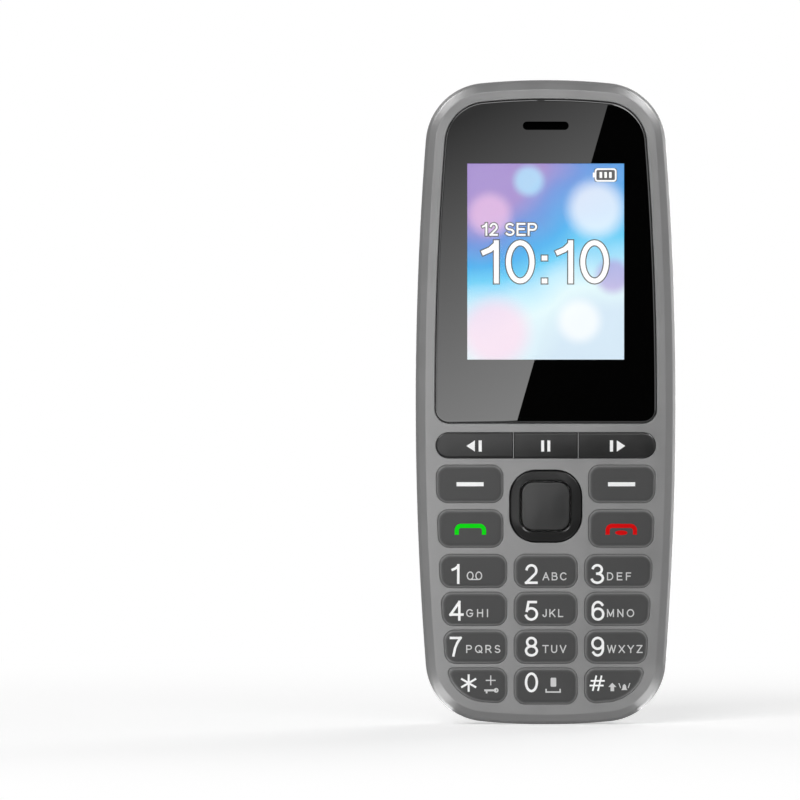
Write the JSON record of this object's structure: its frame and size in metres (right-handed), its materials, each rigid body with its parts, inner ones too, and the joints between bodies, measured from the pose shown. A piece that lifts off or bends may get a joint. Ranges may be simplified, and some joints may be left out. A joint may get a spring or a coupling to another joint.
{
  "type": "feature phone",
  "caption": "Bar-shaped mobile phone with a display lens, number keypad, rocking navigation ring, media keys and a removable back cover over the battery.",
  "frame": {"origin": "bottom centre of the bounding box, under the lower end of the phone", "axes": "+Z toward the earpiece end, -Y out of the front face with the keys, +X to the right as seen from the front"},
  "size_m": [0.0464, 0.0142, 0.115],
  "materials": {
    "housing": "fine matte grey",
    "cover": "matte grey with a fine lattice pattern",
    "keys": "matte dark grey",
    "media": "glossy dark grey",
    "nav": "glossy black",
    "select": "satin dark grey",
    "lens": "clear lens printed black round the picture area",
    "display": "lit picture area",
    "steel": "bright sheet metal",
    "silicone": "translucent silicone",
    "seal": "black foam and rubber",
    "board": "green solder mask",
    "flex": "amber film",
    "contacts": "gold plated",
    "cell": "wrapped cell",
    "inner_plastic": "black moulded plastic",
    "trim_bright": "polished rim",
    "trim_gloss": "glossy dark brown-grey",
    "camera_glass": "dark lens",
    "mesh": "black woven mesh"
  },
  "bodies": {
    "handset": {"front_housing": "housing", "display_lens": "lens", "lens_adhesive": "seal", "earpiece_mesh": "mesh", "lcd_panel": "display", "lcd_frame": "steel", "lcd_flex": "flex", "earpiece_receiver": "inner_plastic", "keypad_mat": "silicone", "switch_domes": "steel", "main_board": "board", "shield_can": "steel", "sim_holders": "steel", "memory_card_holder": "steel", "battery": "cell", "battery_connector": "inner_plastic", "battery_contacts": "contacts", "loudspeaker": "inner_plastic", "loudspeaker_gasket": "seal", "camera_module": "inner_plastic", "vibration_motor": "steel", "microphone": "steel", "microphone_boot": "seal", "usb_port": "steel", "headset_jack": "inner_plastic", "antenna_flex": "flex", "rear_housing": "inner_plastic", "housing_screws": "steel"},
    "back_cover": {"rear_cover": "cover", "rear_trim_ring": "trim_bright", "rear_trim_plate": "trim_gloss", "camera_window": "camera_glass", "sound_mesh": "mesh"},
    "nav_pad": {"nav_pad": "silicone"},
    "nav_ring": {"nav_ring": "nav"},
    "nav_select_key": {"nav_select_key": "select"},
    "media_prev_key": {"media_prev_key": "media"},
    "media_pause_key": {"media_pause_key": "media"},
    "media_next_key": {"media_next_key": "media"},
    "left_soft_key": {"left_soft_key": "keys"},
    "right_soft_key": {"right_soft_key": "keys"},
    "call_key": {"call_key": "keys"},
    "end_key": {"end_key": "keys"},
    "key_1": {"key_1": "keys"},
    "key_2": {"key_2": "keys"},
    "key_3": {"key_3": "keys"},
    "key_4": {"key_4": "keys"},
    "key_5": {"key_5": "keys"},
    "key_6": {"key_6": "keys"},
    "key_7": {"key_7": "keys"},
    "key_8": {"key_8": "keys"},
    "key_9": {"key_9": "keys"},
    "key_star": {"key_star": "keys"},
    "key_0": {"key_0": "keys"},
    "key_hash": {"key_hash": "keys"}
  },
  "joints": [
    {"name": "back_cover_release", "type": "slide", "parent": "handset", "child": "back_cover", "axis": [0, 1, 0], "range_m": [0, 0.02]},
    {"name": "nav_select_key_press", "type": "slide", "parent": "handset", "child": "nav_select_key", "axis": [0, 1, 0], "range_m": [0, 0.0003], "stiffness_N_per_m": 400, "springref_m": -0.003},
    {"name": "media_prev_key_press", "type": "slide", "parent": "handset", "child": "media_prev_key", "axis": [0, 1, 0], "range_m": [0, 0.0003], "stiffness_N_per_m": 400, "springref_m": -0.003},
    {"name": "media_pause_key_press", "type": "slide", "parent": "handset", "child": "media_pause_key", "axis": [0, 1, 0], "range_m": [0, 0.0003], "stiffness_N_per_m": 400, "springref_m": -0.003},
    {"name": "media_next_key_press", "type": "slide", "parent": "handset", "child": "media_next_key", "axis": [0, 1, 0], "range_m": [0, 0.0003], "stiffness_N_per_m": 400, "springref_m": -0.003},
    {"name": "left_soft_key_press", "type": "slide", "parent": "handset", "child": "left_soft_key", "axis": [0, 1, 0], "range_m": [0, 0.0003], "stiffness_N_per_m": 400, "springref_m": -0.003},
    {"name": "right_soft_key_press", "type": "slide", "parent": "handset", "child": "right_soft_key", "axis": [0, 1, 0], "range_m": [0, 0.0003], "stiffness_N_per_m": 400, "springref_m": -0.003},
    {"name": "call_key_press", "type": "slide", "parent": "handset", "child": "call_key", "axis": [0, 1, 0], "range_m": [0, 0.0003], "stiffness_N_per_m": 400, "springref_m": -0.003},
    {"name": "end_key_press", "type": "slide", "parent": "handset", "child": "end_key", "axis": [0, 1, 0], "range_m": [0, 0.0003], "stiffness_N_per_m": 400, "springref_m": -0.003},
    {"name": "key_1_press", "type": "slide", "parent": "handset", "child": "key_1", "axis": [0, 1, 0], "range_m": [0, 0.0003], "stiffness_N_per_m": 400, "springref_m": -0.003},
    {"name": "key_2_press", "type": "slide", "parent": "handset", "child": "key_2", "axis": [0, 1, 0], "range_m": [0, 0.0003], "stiffness_N_per_m": 400, "springref_m": -0.003},
    {"name": "key_3_press", "type": "slide", "parent": "handset", "child": "key_3", "axis": [0, 1, 0], "range_m": [0, 0.0003], "stiffness_N_per_m": 400, "springref_m": -0.003},
    {"name": "key_4_press", "type": "slide", "parent": "handset", "child": "key_4", "axis": [0, 1, 0], "range_m": [0, 0.0003], "stiffness_N_per_m": 400, "springref_m": -0.003},
    {"name": "key_5_press", "type": "slide", "parent": "handset", "child": "key_5", "axis": [0, 1, 0], "range_m": [0, 0.0003], "stiffness_N_per_m": 400, "springref_m": -0.003},
    {"name": "key_6_press", "type": "slide", "parent": "handset", "child": "key_6", "axis": [0, 1, 0], "range_m": [0, 0.0003], "stiffness_N_per_m": 400, "springref_m": -0.003},
    {"name": "key_7_press", "type": "slide", "parent": "handset", "child": "key_7", "axis": [0, 1, 0], "range_m": [0, 0.0003], "stiffness_N_per_m": 400, "springref_m": -0.003},
    {"name": "key_8_press", "type": "slide", "parent": "handset", "child": "key_8", "axis": [0, 1, 0], "range_m": [0, 0.0003], "stiffness_N_per_m": 400, "springref_m": -0.003},
    {"name": "key_9_press", "type": "slide", "parent": "handset", "child": "key_9", "axis": [0, 1, 0], "range_m": [0, 0.0003], "stiffness_N_per_m": 400, "springref_m": -0.003},
    {"name": "key_star_press", "type": "slide", "parent": "handset", "child": "key_star", "axis": [0, 1, 0], "range_m": [0, 0.0003], "stiffness_N_per_m": 400, "springref_m": -0.003},
    {"name": "key_0_press", "type": "slide", "parent": "handset", "child": "key_0", "axis": [0, 1, 0], "range_m": [0, 0.0003], "stiffness_N_per_m": 400, "springref_m": -0.003},
    {"name": "key_hash_press", "type": "slide", "parent": "handset", "child": "key_hash", "axis": [0, 1, 0], "range_m": [0, 0.0003], "stiffness_N_per_m": 400, "springref_m": -0.003},
    {"name": "nav_rock_sideways", "type": "hinge", "parent": "handset", "child": "nav_pad", "pos_m": [0, -0.00398, 0.03895], "axis": [0, 0, 1], "range_deg": [-2, 2], "stiffness_Nm_per_rad": 0.2},
    {"name": "nav_rock_up_down", "type": "hinge", "parent": "nav_pad", "child": "nav_ring", "pos_m": [0, -0.00398, 0.03895], "axis": [1, 0, 0], "range_deg": [-2, 2], "stiffness_Nm_per_rad": 0.2}
  ]
}
